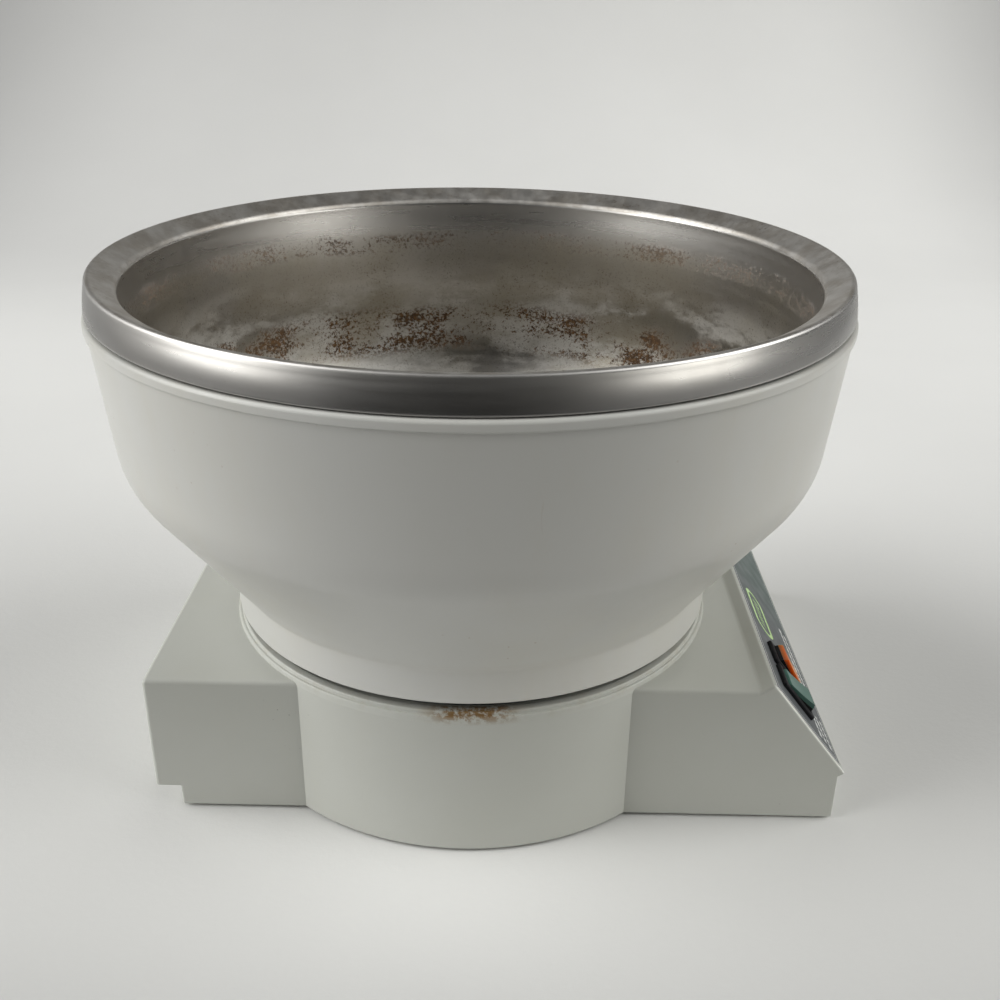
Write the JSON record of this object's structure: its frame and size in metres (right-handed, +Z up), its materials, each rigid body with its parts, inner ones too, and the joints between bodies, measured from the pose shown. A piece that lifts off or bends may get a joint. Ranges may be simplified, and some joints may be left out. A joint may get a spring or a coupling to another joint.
{
  "type": "vibratory rock tumbler",
  "caption": "Bowl-type vibratory tumbler with a loose steel bowl standing in a sprung plastic bowl on a box base with a sloped switch panel.",
  "frame": {"origin": "on the bowl's axis, at the surface that the feet stand on", "axes": "+X towards the control panel, -Y towards the rounded front, +Z up along the bowl's axis"},
  "size_m": [0.3349, 0.3312, 0.2381],
  "materials": {
    "base_housing": "satin moulded",
    "base_plate": "moulded",
    "rubber_feet": "matt",
    "plate_screws": "zinc plated",
    "label_plate": "printed film",
    "switch_frames": "black moulded",
    "switch_tabs": "stamped",
    "orange_rocker": "satin moulded",
    "green_rocker": "satin moulded",
    "rocker_pins": "ground",
    "mains_inlet": "black moulded",
    "inlet_pins": "nickel plated",
    "inlet_screws": "zinc plated",
    "terminal_block": "moulded",
    "terminal_screws": "turned",
    "block_screws": "zinc plated",
    "run_capacitor": "moulded case",
    "capacitor_clip": "zinc plated",
    "clip_screws": "zinc plated",
    "supply_leads": "insulated",
    "motor_lead": "insulated",
    "lead_grommet": "matt",
    "lower_spring_cups": "pressed",
    "coil_springs": "spring steel",
    "upper_spring_cups": "pressed",
    "drive_plate": "cast",
    "outer_bowl": "satin moulded",
    "bowl_screws": "zinc plated",
    "liner_ring": "matt",
    "steel_bowl": "spun stainless, stained inside",
    "motor_can": "painted",
    "motor_top_bell": "cast",
    "motor_bottom_bell": "cast",
    "stator_core": "laminated",
    "stator_windings": "enamelled copper",
    "upper_bearing": "ground",
    "lower_bearing": "ground",
    "motor_standoffs": "turned",
    "motor_studs": "zinc plated",
    "motor_nuts": "zinc plated",
    "rotor_core": "laminated",
    "motor_shaft": "ground",
    "upper_weight": "plated",
    "lower_weight": "plated",
    "weight_screws": "black",
    "shaft_circlips": "spring steel"
  },
  "bodies": {
    "base": {"base_housing": "base_housing", "base_plate": "base_plate", "rubber_feet": "rubber_feet", "plate_screws": "plate_screws", "label_plate": "label_plate", "switch_frames": "switch_frames", "switch_tabs": "switch_tabs", "rocker_pins": "rocker_pins", "mains_inlet": "mains_inlet", "inlet_pins": "inlet_pins", "inlet_screws": "inlet_screws", "terminal_block": "terminal_block", "terminal_screws": "terminal_screws", "block_screws": "block_screws", "run_capacitor": "run_capacitor", "capacitor_clip": "capacitor_clip", "clip_screws": "clip_screws", "supply_leads": "supply_leads", "motor_lead": "motor_lead", "lower_spring_cups": "lower_spring_cups", "coil_springs": "coil_springs"},
    "sprung_bowl": {"outer_bowl": "outer_bowl", "drive_plate": "drive_plate", "upper_spring_cups": "upper_spring_cups", "bowl_screws": "bowl_screws", "liner_ring": "liner_ring", "motor_can": "motor_can", "motor_top_bell": "motor_top_bell", "motor_bottom_bell": "motor_bottom_bell", "stator_core": "stator_core", "stator_windings": "stator_windings", "upper_bearing": "upper_bearing", "lower_bearing": "lower_bearing", "motor_standoffs": "motor_standoffs", "motor_studs": "motor_studs", "motor_nuts": "motor_nuts", "lead_grommet": "lead_grommet"},
    "rotor": {"rotor_core": "rotor_core", "motor_shaft": "motor_shaft", "upper_weight": "upper_weight", "lower_weight": "lower_weight", "weight_screws": "weight_screws", "shaft_circlips": "shaft_circlips"},
    "loose_bowl": {"steel_bowl": "steel_bowl"},
    "orange_switch": {"orange_rocker": "orange_rocker"},
    "green_switch": {"green_rocker": "green_rocker"}
  },
  "joints": [
    {"name": "bowl_bounce", "type": "slide", "parent": "base", "child": "sprung_bowl", "axis": [0, 0, 1], "range_m": [-0.002, 0.002], "stiffness_N_per_m": 12000, "springref_m": 0.00386, "deforming": ["coil_springs"]},
    {"name": "rotor_spin", "type": "hinge", "parent": "sprung_bowl", "child": "rotor", "pos_m": [0, 0, 0.0455], "axis": [0, 0, 1], "continuous": true},
    {"name": "bowl_lift", "type": "slide", "parent": "sprung_bowl", "child": "loose_bowl", "axis": [0, 0, 1], "range_m": [0, 0.15]},
    {"name": "orange_tip", "type": "hinge", "parent": "base", "child": "orange_switch", "pos_m": [0.14703, -0.0485, 0.05342], "axis": [0, 1, 0], "range_deg": [-18, 0]},
    {"name": "green_tip", "type": "hinge", "parent": "base", "child": "green_switch", "pos_m": [0.14703, -0.068, 0.05342], "axis": [0, 1, 0], "range_deg": [0, 18]}
  ]
}
